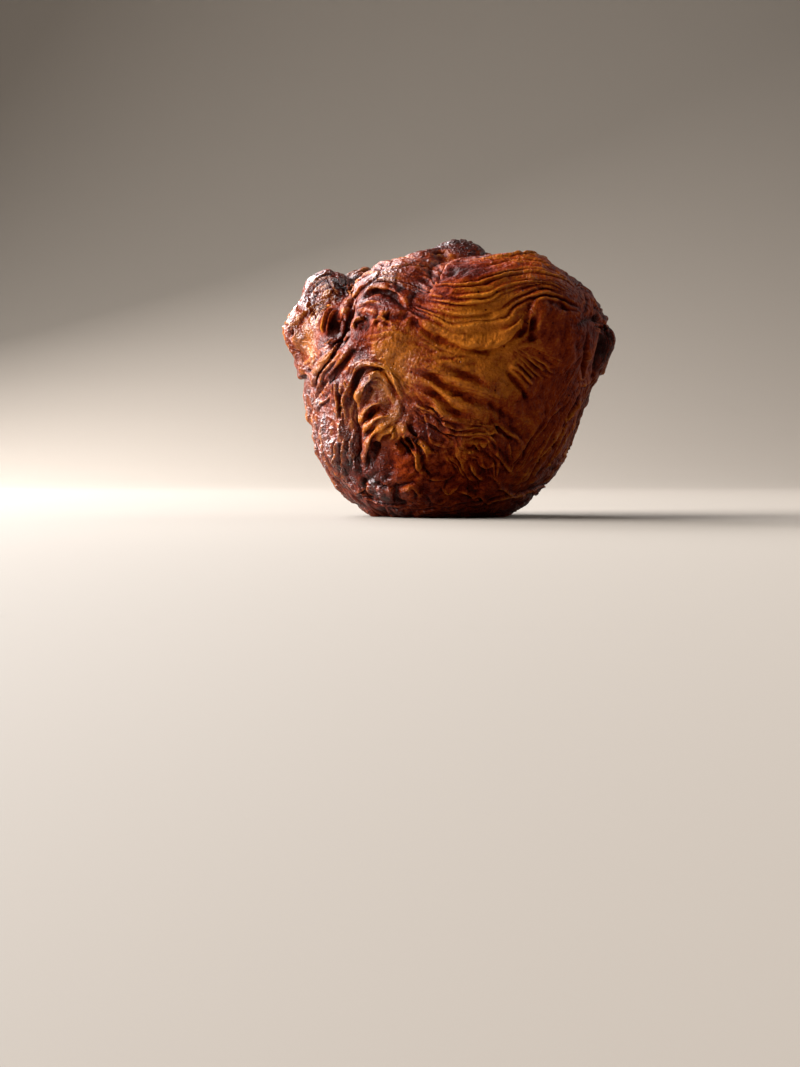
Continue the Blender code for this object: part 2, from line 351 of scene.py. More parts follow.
# The folds over the top and round the sides that face away. Over the top they lie one over the next,
# like the flaps of a carton, round a small knot. The right shoulder hangs over its dark knob, at the
# back another corner comes down in a broad lip, and at the left the layers gather below the knob.
for side, edge, height, spread, crease, overhang in (
    ("top", [-5, -30, -5.5, -22, -3, -14, -3.5, -8], 0.7, 6, 0.6, 0.4),
    ("top", [37, 13, 29, 6.5, 20, 8.5, 13, 4, 9, 5], 1.6, 6, 1.2, 0.9),
    ("top", [5, 36, -1, 28, 3, 20, 0, 13, -3, 9], 1.5, 6, 1.2, 0.9),
    ("top", [-34, 9, -26, 3, -18, 6, -12, 2, -8, 4], 1.4, 5, 1.2, 0.9),
    ("top", [-7, -4, -8.5, 2, -5, 8.5, 2, 10.5, 9, 8, 11, 2], 0.9, 3, 1, 0.5),
    (RIGHT, [-23, 58.5, -12, 55.6, -2, 56.2, 8, 55.4, 17, 58.5], 1.1, 6, 1.4, 0.4),
    (RIGHT, [10, 14, 13, 24, 14.5, 34, 18, 43, 26, 47], 1.4, 6, 1.1, 0.7),
    (RIGHT, [-14, 37, -19, 28, -20.5, 17, -17, 7], 1, 5, 1, 0.5),
    (BACK, [-33, 56, -24, 48, -12, 43.5, -1, 43, 8, 47, 13, 54], 1.7, 9, 1.3, 0.9),
    (BACK, [7, 55, 14, 48.5, 23, 46.5, 33, 50], 1.5, 7, 1.3, 0.8),
    (BACK, [-27, 12, -24, 22, -16, 28, -7, 26, -2, 18], 1.3, 5, 1.1, 0.6),
    (BACK, [29, 34, 20, 31, 12, 24, 8, 13], 1.3, 6, 1.1, 0.6),
    (LEFT, [-14, 52, -6, 45, 3, 40.5, 13, 41], 1.6, 5, 1.3, 0.8),
    (LEFT, [-30, 50, -20, 44, -12, 36, -9, 26], 1.5, 7, 1.2, 0.7),
    (LEFT, [16, 32, 10, 26, 7, 16, 9, 6], 1.2, 5, 1.1, 0.6),
    (LEFT, [-26, 30, -22, 20, -14, 12], 1.1, 5, 1, 0.5),
):
    flap_edge(side, edge, height, spread, crease, overhang)
for side, gap, depth, width in (
    (RIGHT, [-7.5, 52, -8.5, 46, -5.5, 39.5], 1.6, 1),
    (RIGHT, [11.5, 52, 12, 46, 8.5, 39.5], 1.6, 1),
    (BACK, [-12, 39, -4, 36, 5, 30, 12, 36], 1.5, 1),
    (LEFT, [-5.5, 64, -6.5, 56, -3.5, 47], 1.8, 1.1),
    (LEFT, [0, 60, 6, 57, 12, 59], 1.6, 0.9),
    (LEFT, [0, 52, 5, 49, 11, 51], 1.4, 0.8),
):
    groove(side, gap, depth, width)
for side, right, up, radius, height in (
    ("top", 20, -20, 9, 0.8), ("top", 24, 18, 8, 1), ("top", -14, 22, 9, 1), ("top", -18, -14, 8, 0.7),
    (RIGHT, 0, 55.6, 3.2, -1.8),
):
    swell(side, right, up, radius, height)
for side, right, up, radius, depth in (
    (RIGHT, 3, 30, 1.2, 2.4), (RIGHT, 24, 21, 1.6, 3), (BACK, -15, 20, 2.2, 4), (BACK, 18, 14, 1.4, 2.6),
    (LEFT, -4, 33, 1.7, 3), (LEFT, 14, 20, 1.3, 2.4),
):
    pit(side, right, up, radius, depth)
write_skin()
shape_with("REMESH", mode="VOXEL", voxel_size=SKIN_CELL * MM)
shape_with("SMOOTH", iterations=3)


# The pleats. The layers shrank and buckled as they baked, into bundles of ridges that run side by
# side. A bundle is drawn by its first and last ridges and any between, and its ridges fill the
# space evenly, with their height, width and line as uneven as in real dough.
ALONG_STEP, ACROSS_STEP = 0.7, 0.6  # mm between the places worked out for a bundle


def sheet_on_dough(side, guides):
    """A grid of places on the skin between the guide lines, at about 0.7 mm: across x along x 3."""
    guides = [np.reshape(guide, (-1, 2)) for guide in guides]
    along = max(6, int(max(length_of(guide) for guide in guides) / ALONG_STEP))
    lines = np.array([smooth_line(guide, along) for guide in guides])
    width = max(length_of(lines[:, i]) for i in range(0, along, 3))
    across = max(6, int(width / ACROSS_STEP))
    flat = smooth_line(lines.reshape(len(guides), -1), across).reshape(-1, 2)
    middle, outward = on_dough(side, flat)
    return middle.reshape(across, along, 3), outward.reshape(across, along, 3)


def ridged(phase, here, skew, blade, order, seed):
    """Height from 0 to 1 over ridges about one phase apart that merge, split and fade. A `skew` under 0.5
    makes the first side of a ridge steep; `blade` goes from 0, puffed with sharp valleys, to 1, a thin
    crest over broad valleys; `order` is how far the ridges keep to their rank."""
    t = phase - np.floor(phase)
    t = np.where(t < skew, 0.5 * t / skew, 0.5 + 0.5 * (t - skew) / (1 - skew))
    wild = lumps(here / 7.0 + phase[:, None] * (1.1, 0.7, -0.9), 1.0, seed)
    wave = np.sin(math.pi * (np.floor(phase) + t)) * order + 1.7 * (1 - order) * wild
    height = np.minimum(np.abs(wave) * 1.1, 1.0)
    return height ** (0.75 + 1.6 * blade)


def creases(flow, here, seed):
    """Fine creases that follow the layers, in mm of height. `flow` counts millimetres across the layers."""
    total = np.zeros(len(here))
    for spacing, depth in ((3.0, 0.40), (1.5, 0.30), (0.8, 0.12)):
        seed += 1
        stretched = here / (3.5 * spacing) + (flow / spacing)[:, None] * (0.45, 0.3, -0.35)
        total += depth * (np.minimum(np.abs(lumps(stretched, 1.0, seed)) * 2.2, 1.0) ** 0.8 - 0.62)
    return total * np.clip(0.9 + 0.8 * lumps(here, 10.0, 17), 0.3, 1.7)


def pleats(side, guides, count, height, fade=0.12, side_fade=0.08, wander=0.35, lean=0.35, skew=0.5,
           blade=0.0, order=0.7, fine=1.0, uneven=1.0, seed=0):
    """Lays a bundle of ridges on the skin in place of what is there. `lean` pushes the crests towards the
    first guide, and `fine` is the strength of the creases on them."""
    global flow, flow_hold
    sheet, outward = sheet_on_dough(side, guides)
    across, along = sheet.shape[:2]
    to_next = np.gradient(sheet, axis=0).reshape(-1, 3)
    ahead = np.gradient(sheet, axis=1).reshape(-1, 3)
    flat = sheet.reshape(-1, 3)
    chosen, near = nearest_of(flat, 2.5)
    facing = np.einsum("ij,ij->i", normal[chosen], outward.reshape(-1, 3)[near]) > 0.0
    chosen, near = chosen[facing], near[facing]
    away, a, b = place[chosen] - flat[near], to_next[near], ahead[near]
    aa, bb, ab = (np.einsum("ij,ij->i", p, q) for p, q in ((a, a), (b, b), (a, b)))
    da, db = np.einsum("ij,ij->i", away, a), np.einsum("ij,ij->i", away, b)
    whole = aa * bb - ab**2 + 1e-9
    over = (near // along + np.clip((da * bb - db * ab) / whole, -2, 2)) / (across - 1)
    part = (near % along + np.clip((db * aa - da * ab) / whole, -2, 2)) / (along - 1)
    here = place[chosen]
    width = np.linalg.norm(np.diff(sheet, axis=0), axis=2).sum(axis=0).mean()
    side_fade = max(side_fade, 1.6 / width)
    window = ends(part + 0.06 * lumps(here, 4.0, seed + 5), fade) * ends(over, side_fade)
    phase = over * count + wander * lumps(here, 7.0, seed) + 0.35 * wander * lumps(here, 2.4, seed + 1)
    phase += (0.22 * np.sin(2 * math.pi * phase * 0.37 + seed)
              + 0.10 * np.sin(2 * math.pi * phase * 0.83 + 2 * seed))
    own = np.stack([phase * 0.8, part * along * ALONG_STEP / 6.0, np.full(len(here), seed * 1.7)], 1)
    strength = 0.80 + uneven * (0.55 * lumps(own, 1.0, seed + 2) + 0.3 * lumps(here, 9.0, seed + 3))
    strength = np.clip(strength, 0.15, 1.5)
    high = ridged(phase, here, skew, blade, order, seed + 4)
    across_mm = over * width + 0.8 * lumps(here, 5.0, seed + 6)
    crest = height * strength * (high - 0.55 + 0.2 * blade) + fine * creases(across_mm, here, seed + 7)
    pleat_rise[chosen] = pleat_rise[chosen] * (1 - window) + crest * window
    toward_first = -a / np.sqrt(aa)[:, None]
    pushed = toward_first * (lean * height * strength * high)[:, None]
    pleat_shift[chosen] = pleat_shift[chosen] * (1 - window)[:, None] + pushed * window[:, None]
    own_flow = window > 0.5
    flow[chosen] = np.where(own_flow, across_mm, flow[chosen])
    held = np.clip((window - 0.75) / 0.25, 0, 1)
    flow_hold[chosen] = np.where(own_flow, held, flow_hold[chosen] * np.clip(1 - 3.5 * window, 0, 1))


read_skin()
pleat_rise = np.zeros(len(place))
pleat_shift = np.zeros_like(place)

# Between the bundles, and under them, the layers show as shallow swirls, and the crust is creased
# along them.
bent = place.copy()
for size, reach, seed in ((20.0, 9.0, 10), (7.0, 2.2, 110)):
    bent += reach * np.stack([lumps(place, size, seed + axis) for axis in range(3)], 1)
flow = bent @ np.array([-0.82, -0.10, 0.56])
flow_hold = np.zeros(len(place))
drift = flow.copy()
shown = np.clip(0.55 + 0.9 * lumps(place, 9.0, 13), 0.15, 1.0)
pleat_rise += 0.9 * shown * (ridged(flow / 3.4, place, 0.4, 0.0, 0.5, 15) - 0.55) + creases(flow, place, 16)

# Round the foot the dough is gathered in short upright folds, where it was pressed into the corner
# of the tin.
foot = np.clip(1.15 - place[:, 2] / 9.0, 0, 1)
round_foot = np.arctan2(place[:, 1], place[:, 0]) * 48 / (2 * math.pi) + 0.9 * lumps(place, 5.0, 24)
gathers = ridged(round_foot, place, 0.45, 0.2, 0.6, 25) - 0.6
pleat_rise += foot * (1.1 * gathers + 0.6 * lumps(place, 3.5, 26))

# Bundles at the front: the smile and the arcs over it, the flap at its left, the diagonal ridges,
# the fan under the tab, the arches, and the fine layers at the right and the foot.
pleats(FRONT, [
    [-14, 57.5, -8.5, 53.2, -1.2, 49.8, 5, 47.4, 10, 46.8, 14.6, 48.4, 18.6, 52.3, 21.3, 58],
    [-11, 59.8, -3, 56.2, 7, 54.6, 13, 56, 18.5, 59.5, 24, 62, 30, 61.3],
    [-7.5, 62, 1, 61, 10, 61.6, 17, 64.3, 23.5, 65.2, 31, 63.6, 36, 59.5],
    [-3, 65, 4, 65.5, 12, 67.6, 19, 69, 26, 67.9, 33, 64.4, 39, 59],
], 9, 1, wander=0.5, lean=0.3, skew=0.42, blade=0.25, fine=0.5, uneven=0.7, seed=20)
pleats(FRONT, [
    [-27.5, 57, -22, 56.2, -16, 55.4, -11, 55.4], [-25, 59.6, -20, 60.6, -15.6, 59.6, -12.4, 57.6],
], 2, 0.3, fade=0.2, side_fade=0.2, wander=0.6, fine=0.5, seed=24)
pleats(FRONT, [
    [-23.4, 61.2, -20.4, 63, -15, 62.6, -10, 60.8, -6.2, 59.8], [-19.6, 66, -14, 66.6, -8, 65.2, -3.6, 62.8],
    [-14.6, 70.2, -9, 71, -4, 70, -0.6, 67.4],
], 7, 0.5, fade=0.1, wander=0.35, lean=0.4, skew=0.4, blade=0.3, order=0.85, fine=0.45, uneven=0.5, seed=28)
pleats(FRONT, [
    [-9, 45.5, -1, 42.4, 7, 39.6, 14.5, 36], [-12.5, 41.5, -4, 37.4, 5, 33.4, 13, 29.6],
    [-13.5, 36, -8, 32.2, -1, 27.6, 8, 25.4], [-13, 30, -8.5, 25.5, -1, 21.5, 7, 20.5],
], 8, 0.35, wander=0.8, lean=0.2, blade=0.3, order=0.6, fine=0.7, uneven=0.6, seed=32)
pleats(FRONT, [
    [-24, 52.5, -15, 53.5, -7, 49.5, 0, 46.2, 7, 44.3], [-26, 49, -16, 49, -7, 46, 2, 43, 12, 42],
    [-28, 45.5, -18, 44, -9, 42, 1, 39.8, 12, 38.5],
], 3, 0.35, fade=0.2, side_fade=0.25, wander=0.9, fine=0.55, seed=66)
pleats(FRONT, [
    [25, 56, 24.5, 48, 23, 41, 20, 34], [30, 57, 30.5, 48, 29, 40, 26, 32],
    [34.5, 54, 35.5, 46, 34, 38, 31, 30],
], 4, 0.3, fade=0.2, side_fade=0.25, wander=0.9, fine=0.5, seed=68)
pleats(FRONT, [
    [-10, 33, -4, 28.5, 2, 25], [-11, 27, -5, 22.5, 1, 19],
], 5, 0.55, wander=0.9, lean=0.6, skew=0.3, seed=34)
pleats(FRONT, [
    [15.5, 45, 20, 41, 26, 36.5], [19, 46, 24, 43, 30, 40], [22, 46.8, 27, 45, 33, 43.5],
], 7, 0.6, lean=0.5, skew=0.35, seed=36)
pleats(FRONT, [
    [-33, 24, -33.4, 31, -29.5, 40.5, -22, 44, -15, 40.6, -10.5, 33],
    [-27.5, 22, -27.5, 31, -25, 38, -20.4, 40.4, -15.6, 37.4, -12.6, 30],
    [-23.6, 23, -23.5, 30, -21.3, 33.4, -18.8, 33.6, -16.4, 31, -14.4, 27],
], 6, 0.6, fade=0.2, wander=0.9, lean=0.6, skew=0.4, blade=0.7, order=0.5, seed=40)
pleats(FRONT, [
    [-37, 9, -40, 20, -39.5, 34], [-31.5, 6, -33, 19, -33, 34], [-26, 5, -27.5, 18, -28, 31],
], 8, 0.9, fade=0.2, wander=1, lean=0.5, skew=0.4, blade=0.7, order=0.6, seed=44)
pleats(FRONT, [
    [-41.5, 41, -37, 45.5, -33, 49], [-36.5, 36, -31, 43.5, -25.5, 50],
], 4, 0.7, wander=0.7, lean=0.6, skew=0.35, blade=0.6, seed=48)
pleats(FRONT, [
    [19, 6, 25, 17, 33, 29, 39, 37], [14, 10, 21, 20, 28, 31, 34, 42],
], 8, 0.42, wander=0.7, seed=52)
pleats(FRONT, [
    [5, 26, 12, 24.6, 17.5, 19, 18, 12], [4, 21, 9, 20.5, 12.5, 16, 13, 10], [6, 15, 8, 14, 9, 11, 9, 7],
], 7, 1, wander=1.1, lean=0.5, skew=0.4, blade=0.8, order=0.45, fine=1.4, seed=56)
pleats(FRONT, [
    [-3, 16.5, 0, 13, 4, 8.5, 8, 5], [2, 18, 5, 14, 8, 9.5, 13, 6],
], 4, 0.8, wander=1, lean=0.5, blade=0.7, order=0.5, fine=1.3, seed=58)
pleats(FRONT, [
    [-9, 8, 0, 6.8, 8, 5.6, 16, 6], [-10, 3, -1, 1.8, 8, 1.4, 15, 2],
], 4, 1.1, wander=1.2, blade=0.6, order=0.5, fine=1.4, seed=60)
pleats(FRONT, [
    [-27, 8, -21, 5.4, -15, 4.4, -9, 5], [-22, 2.6, -17, 1.6, -12, 1.4, -8, 1.6],
], 3, 1, wander=1.2, blade=0.3, order=0.5, fine=1.2, seed=61)
pleats(FRONT, [
    [38.6, 53.6, 42.6, 52.6, 44.9, 48, 44.2, 42.5, 40.8, 38],
    [38.8, 50.5, 41, 49.4, 42.2, 46.6, 41.6, 43.4, 39.8, 41],
], 4, 0.9, fade=0.2, wander=0.3, blade=0.3, order=0.9, fine=1.2, uneven=0.5, seed=62)
pleats(FRONT, [
    [33.5, 35, 36.5, 37.5, 39.5, 40], [36, 30, 38.5, 33, 41, 36.5],
], 4, 0.5, wander=0.3, fine=0.6, seed=64)
pleats(FRONT, [
    [-40, 60, -37, 66, -31, 67.5], [-37, 58, -33.5, 61.5, -28.5, 62],
], 5, 0.7, fade=0.2, wander=1.2, blade=0.3, order=0.4, fine=1.9, seed=67)

# Bundles over the top, where each flap's layers curve round its outer edge, and one on the knot.
for side, guides, count, height, wander, lean, skew, seed in (
    ("top", [[-1, -25, 10, -31, 24, -28, 33, -18, 36, -6], [-1, -14, 9, -20, 20, -18, 26, -10, 28, 0],
        [2, -6, 9, -10, 15, -9, 18, -4, 19, 3]],
     12, 0.7, 0.6, -0.3, 0.5, 100),
    ("top", [[-31, 1, -31, -12, -24, -24, -12, -31, -6, -30], [-20, 2, -20, -8, -15, -16, -8, -20, -5, -20],
        [-11, 1, -11, -5, -9, -10, -5, -12, -4, -11]],
     10, 0.8, 0.6, -0.3, 0.5, 104),
    ("top", [[36, 11, 34, 22, 25, 32, 13, 36, 3, 33], [25, 10, 24, 18, 18, 25, 10, 27, 4, 24],
        [14, 10, 14, 14, 11, 17, 7, 18, 4, 16]],
     11, 0.8, 0.6, -0.3, 0.5, 108),
    ("top", [[-2, 36, -14, 36, -26, 29, -33, 19, -33, 9], [-1, 26, -11, 27, -19, 21, -23, 14, -23, 8],
        [-3, 16, -8, 17, -12, 14, -14, 10, -13, 7]],
     11, 0.8, 0.6, -0.3, 0.5, 112),
):
    pleats(side, guides, count, height, wander=wander, lean=lean, skew=skew, seed=seed)
pleats(FRONT, [
    [-9.5, 68.6, -5, 69.6, 0, 69, 6, 70, 11.5, 69.4],
    [-9.5, 70.6, -5.5, 72.2, -1, 73.2, 5, 73.2, 10.8, 70.8],
    [-9, 72.2, -5, 74.4, -1, 75.8, 5, 75.8, 10.4, 72],
], 4, 0.3, fade=0.12, side_fade=0.1, wander=0.4, order=0.8, fine=0.6, uneven=0.5, seed=69)

# Bundles round the right side, the back and the left side, and at the base, where the layers lie in
# whorls that the tin's bottom pressed level.
for side, guides, count, height, wander, lean, skew, seed in (
    (RIGHT, [[-27, 10, -25, 22, -19, 36, -11, 50], [-14, 4, -12, 18, -9, 30, -5, 40],
        [2, 3, 3, 16, 3, 28, 2, 37], [12, 6, 11, 18, 10, 28, 7, 38]],
     14, 0.55, 0.7, 0.4, 0.5, 120),
    (RIGHT, [[14, 20, 16, 32, 20, 41, 28, 44, 34, 38, 35, 26],
        [18, 14, 20, 26, 24, 34, 29, 34, 31, 26, 30, 16],
        [22, 10, 24, 18, 26, 23, 28, 22, 28, 17, 27, 10]],
     7, 0.95, 0.5, 0.6, 0.35, 124),
    (RIGHT, [[-26, 60, -12, 57.5, 2, 57.5, 16, 60],
        [-24, 68, -12, 67, 2, 67, 14, 68]],
     6, 0.6, 0.5, 0.35, 0.5, 128),
    (RIGHT, [[-3, 53.5, -5.5, 47, -3, 40.5], [3, 54, 2.5, 47.5, 2.5, 41],
        [8, 53, 9.5, 47, 6.5, 40.5]],
     5, 0.6, 0.6, 0.35, 0.5, 130),
    (BACK, [[-34, 59, -24, 50.5, -12, 45.5, -1, 45, 8, 49, 12, 56],
        [-33, 66, -22, 58, -10, 53.5, -1, 54, 6, 58, 9, 64],
        [-28, 71, -18, 66, -9, 62.5, -2, 63, 3, 66, 5, 70]],
     10, 0.8, 0.5, 0.4, 0.5, 140),
    (BACK, [[8, 59, 14, 50.5, 23, 48.5, 34, 52], [8, 67, 14, 59, 23, 57, 33, 60],
        [10, 72, 15, 67, 22, 65, 30, 67]],
     8, 0.8, 0.5, 0.4, 0.5, 144),
    (BACK, [[-33, 10, -33, 26, -26, 37, -16, 39.5, -6, 36, 2, 27],
        [-27, 9, -26, 22, -20, 30, -13, 31, -6, 28, -1, 20],
        [-21, 8, -20, 16, -16, 22.5, -12, 23, -8, 20, -5, 13]],
     8, 1, 0.5, 0.6, 0.35, 148),
    (BACK, [[-2, 38.5, 8, 40, 20, 42, 33, 44], [3, 30, 12, 32, 22, 34, 34, 36],
        [5, 20, 14, 22, 24, 25, 35, 28]],
     7, 0.95, 0.5, 0.3, 0.5, 152),
    (BACK, [[33, 26, 26, 20, 20, 12, 18, 5], [22, 20, 16, 16, 11, 9, 10, 3],
        [6, 19, 3, 12, 2, 6, 2, 2]],
     11, 0.65, 0.8, 0.5, 0.35, 156),
    (BACK, [[-30, 8, -18, 5, -8, 4, 2, 5],
        [-24, 3, -14, 1.5, -7, 1.2, 1, 1.5]],
     4, 0.6, 0.9, 0.35, 0.5, 160),
    (LEFT, [[-2, 66, -5, 57, -3, 48, 2, 42], [6, 67, 4, 58, 5, 49, 7, 42],
        [13, 64, 13, 56, 12, 48, 11, 43]],
     7, 0.75, 0.8, 0.5, 0.5, 170),
    (LEFT, [[-34, 46, -22, 41, -13, 33, -9, 22], [-34, 38, -25, 33, -18, 26, -14, 16],
        [-33, 28, -27, 23, -22, 16, -19, 8]],
     8, 0.85, 0.6, 0.5, 0.35, 174),
    (LEFT, [[-8, 38, -8, 26, -10, 14, -10, 4], [2, 38, 2, 26, 1, 14, 0, 3], [14, 38, 12, 26, 9, 15, 8, 4],
        [26, 32, 24, 22, 20, 12, 17, 5]],
     13, 0.85, 0.8, 0.5, 0.35, 178),
    (LEFT, [[-34, 52, -24, 48, -16, 46, -9, 50], [-33, 62, -24, 58, -17, 56, -9, 60],
        [-28, 69, -22, 66, -17, 64, -10, 66]],
     7, 0.8, 0.6, 0.4, 0.5, 182),
    ("base", [[-32, 6, -24, 20, -8, 28, 10, 28, 24, 18], [-22, 4, -16, 14, -5, 19, 7, 19, 16, 12],
        [-12, 2, -9, 7, -3, 10, 3, 10, 8, 6]],
     9, 0.6, 0.9, 0.3, 0.5, 190),
    ("base", [[30, 12, 32, -6, 20, -24, 2, -29, -18, -24], [20, 8, 21, -5, 13, -16, 1, -20, -12, -16],
        [10, 4, 11, -3, 6, -8, 0, -10, -6, -8]],
     9, 0.6, 0.9, 0.3, 0.5, 194),
):
    pleats(side, guides, count, height, wander=wander, lean=lean, skew=skew, seed=seed)
rise += pleat_rise
shift += pleat_shift

# Single leaves. Here and there a layer came free of its bundle as the steam lifted it, and set as
# a thin standing edge. They are closest at the left of the front, where the wall dried most.
for line, height in (
    ([-37.1, 33.2, -36.5, 38.8, -34.3, 42.6, -30.2, 47, -27, 49.6], 0.9),
    ([-35.9, 34.4, -34.9, 39, -31.4, 42.8, -28.6, 46.2], 0.7),
    ([-36.9, 31.6, -34.6, 35.2, -31.8, 37.8, -29, 41.6], 0.8),
    ([-36.6, 29.4, -34.2, 31.6, -32.4, 33.6], 0.7),
    ([-31.1, 38.8, -31.2, 34.1, -30.5, 30.7, -30.9, 25], 0.7),
    ([-28.6, 39.2, -28.4, 35.6, -28.8, 30.7, -28.3, 27.4, -28.8, 24.2], 0.7),
    ([-28.6, 21.6, -29, 17, -29, 12, -28.2, 9], 0.9),
    ([-26.8, 23.6, -26.9, 19, -25.8, 14.6, -26.6, 11.4], 0.8),
    ([-30.7, 22, -31, 16.6, -30.6, 10.6], 0.8),
    ([-25.8, 41.1, -20.8, 42, -16.4, 39.8, -13.8, 34.4, -12.2, 31], 0.7),
    ([-24.9, 29.4, -24.3, 33.5, -23.1, 36.2, -20.2, 38.3, -17.8, 37.2, -16.2, 34], 0.9),
    ([-24.2, 25.4, -23.2, 28.6, -20.9, 30.9, -17.6, 31.4], 0.9),
    ([-23.8, 22, -21.9, 25, -19, 27.1, -15.8, 27.6], 0.9),
    ([-22.9, 12.2, -23.2, 17, -21.6, 21.5, -19.2, 23.5], 0.9),
    ([-19, 19.6, -18.6, 22.2, -16.4, 23.8, -14.6, 26.3], 0.9),
    ([-16.4, 20.6, -15.2, 22, -15, 24.6], 0.6),
    ([-13.6, 25, -11.8, 20.8, -9.4, 18, -8.8, 15, -8.2, 12.6, -6.2, 10.8], 1),
    ([-12.4, 25.8, -9.6, 21.6, -7.4, 19.6, -6, 17, -6.4, 14.6], 0.8),
    ([-0.4, 17.1, -4.4, 17.4, -5.7, 18.9, -7.5, 20.5, -10.4, 22.2, -12.4, 26.4], 0.7),
    ([-8.4, 14.8, -6.8, 11.8, -3.9, 10.2, -0.4, 10.4, 2, 12], 0.6),
    ([-21.6, 10.2, -21.9, 7, -20.6, 4.4], 0.9),
    ([-19.8, 8.6, -17.4, 9.4, -15.6, 7.6], 0.8),
    ([-12, 6.2, -10.2, 8.4, -8, 6, -9, 3.4], 0.7),
    ([-26.4, 6, -23.4, 7.6, -22, 9.8], 0.8),
    ([-10.5, 31.2, -6.6, 27.6, -5.8, 24.8, -4.6, 20.4, -0.8, 19, 3.4, 20.4], 0.6),
    ([-8.4, 31.4, -4.2, 28.2, -2, 26.4, -0.6, 24.4, 4.2, 24, 8.6, 24.4], 0.9),
    ([-9.6, 29, -5.6, 26, -3.2, 24.6, -1, 22.9, 5, 22.6, 9.4, 23.4], 0.6),
    ([-9.8, 34.2, -6.6, 31, -3.4, 29.6, -0.6, 26.6], 0.6),
    ([6.8, 20.3, 8, 19.2, 9.4, 17.3], 0.8),
    ([8.6, 20.8, 9.4, 19.4, 10.8, 20.4, 11.8, 18.6, 13.2, 18], 0.7),
    ([9.6, 23.6, 11.2, 22.4, 12.6, 23, 14.6, 21.2], 0.7),
    ([11.2, 25, 13.4, 25.4, 15.6, 23.6, 18.6, 21.4, 20, 18], 0.8),
    ([12.4, 17.8, 14, 16.2, 16.2, 13.4, 17.6, 10.6], 0.7),
    ([8.4, 17, 8.6, 14.6, 10.2, 13.6, 13, 13.8, 15.4, 11], 0.6),
    ([5.8, 15.4, 6.6, 13, 8.6, 10.8, 10.8, 9.4], 0.8),
    ([3.6, 15, 3.8, 12.4, 5.6, 10.6, 8.2, 9.8], 0.6),
    ([9.4, 11.6, 11.6, 11, 13.6, 9.2, 14.4, 6.8], 0.6),
    ([12, 6.6, 14.4, 7.6, 16.8, 6.4, 18.6, 4.6], 0.7),
    ([2.2, 6.2, 4.2, 6.9, 5.8, 6, 7.4, 3.6], 0.9),
    ([-2.4, 8.8, -0.4, 6.4, 1.2, 7.4, 3, 8.8], 0.7),
    ([6, 4.6, 8.2, 5.6, 10.2, 4.2, 12.6, 3], 0.8),
    ([-6, 6.6, -4.6, 4.4, -2.2, 3.6, 0.2, 4.6], 0.7),
    ([25.6, 12, 28.6, 17, 30.6, 21.4, 31.6, 25], 0.8),
    ([22.6, 12.6, 25, 18, 28.4, 23.6], 0.5),
    ([18, 7.4, 20.4, 11.2, 22.4, 14.4], 0.5),
    ([23.6, 21.4, 27.6, 27, 32.4, 31.6], 0.5),
    ([16.2, 41.4, 19.3, 39.9, 21.8, 37.5, 23.2, 35.4], 0.9),
    ([18.1, 42.6, 21.5, 40.2, 24.2, 37.3], 0.9),
    ([19.3, 43.4, 23, 40.4, 26, 37.3], 0.8),
    ([20.8, 43.9, 24.5, 41.2, 27.9, 37.3], 0.9),
    ([22.3, 44.4, 26, 41.7, 29.1, 38.5], 0.8),
    ([20.6, 60.2, 25.9, 61, 29.8, 60.2, 35.7, 57.8], 0.8),
    ([21.8, 58.4, 26.4, 59.4, 30.6, 58.6, 34.6, 56.2], 0.6),
    ([34.6, 37, 36.6, 37.6, 38.6, 39.8], 0.5),
    ([35.2, 35.4, 37.4, 36.2, 39.4, 38.6], 0.5),
    ([-32.2, 59.4, -34.6, 58.6, -37.6, 57.2, -40.3, 55], 0.7),
    ([-32, 58.6, -34.4, 57.8, -36.8, 55.9, -38.8, 53], 1),
    ([-31.8, 57.9, -34.6, 56.9, -37, 54, -37.4, 50.8], 1.2),
    ([-31, 57.6, -33.4, 56.9, -35.8, 53.4, -36.4, 49.4], 1.1),
    ([-31, 57.4, -32.8, 55.4, -34.4, 52.6, -35, 49.4], 1.3),
    ([-30.4, 57.2, -31.8, 55, -33, 52, -33.6, 49.6], 1),
    ([-33.4, 47.2, -30.4, 48.8, -28.9, 52.4, -29.6, 56.6], 0.9),
    ([-44.9, 49.4, -45, 52, -43.8, 53.4, -42.6, 52, -42.6, 50.2], 0.7),
    ([-39.4, 63.2, -36.8, 64.6, -34, 66.4, -31, 66.8], 0.8),
    ([-30.4, 66.6, -29.4, 63.6, -27.2, 61.4, -27.4, 58.8], 0.8),
    ([-32.4, 65.2, -31.2, 62.6, -29.8, 60.4], 0.7),
    ([-26.4, 50.6, -26.2, 52.8, -24.8, 54, -22.6, 54.1], 1),
    ([-21.4, 52.8, -19.5, 53.9, -17.3, 53.6, -14.6, 52], 0.7),
    ([-26, 57.2, -23.8, 58.4, -21.4, 58.9, -18.6, 58.2], 0.8),
    ([-28.2, 57.4, -25.6, 60.9, -23.2, 63.4, -20.2, 65.6, -16.4, 68.2], 0.8),
    ([-23.4, 61.4, -20.2, 62.7, -17, 62.4, -14, 61, -12.2, 59], 0.5),
    ([-20.6, 64.6, -17.2, 64.5, -13.6, 63.8, -9.6, 62.2], 0.4),
):
    leaf(FRONT, line, height)
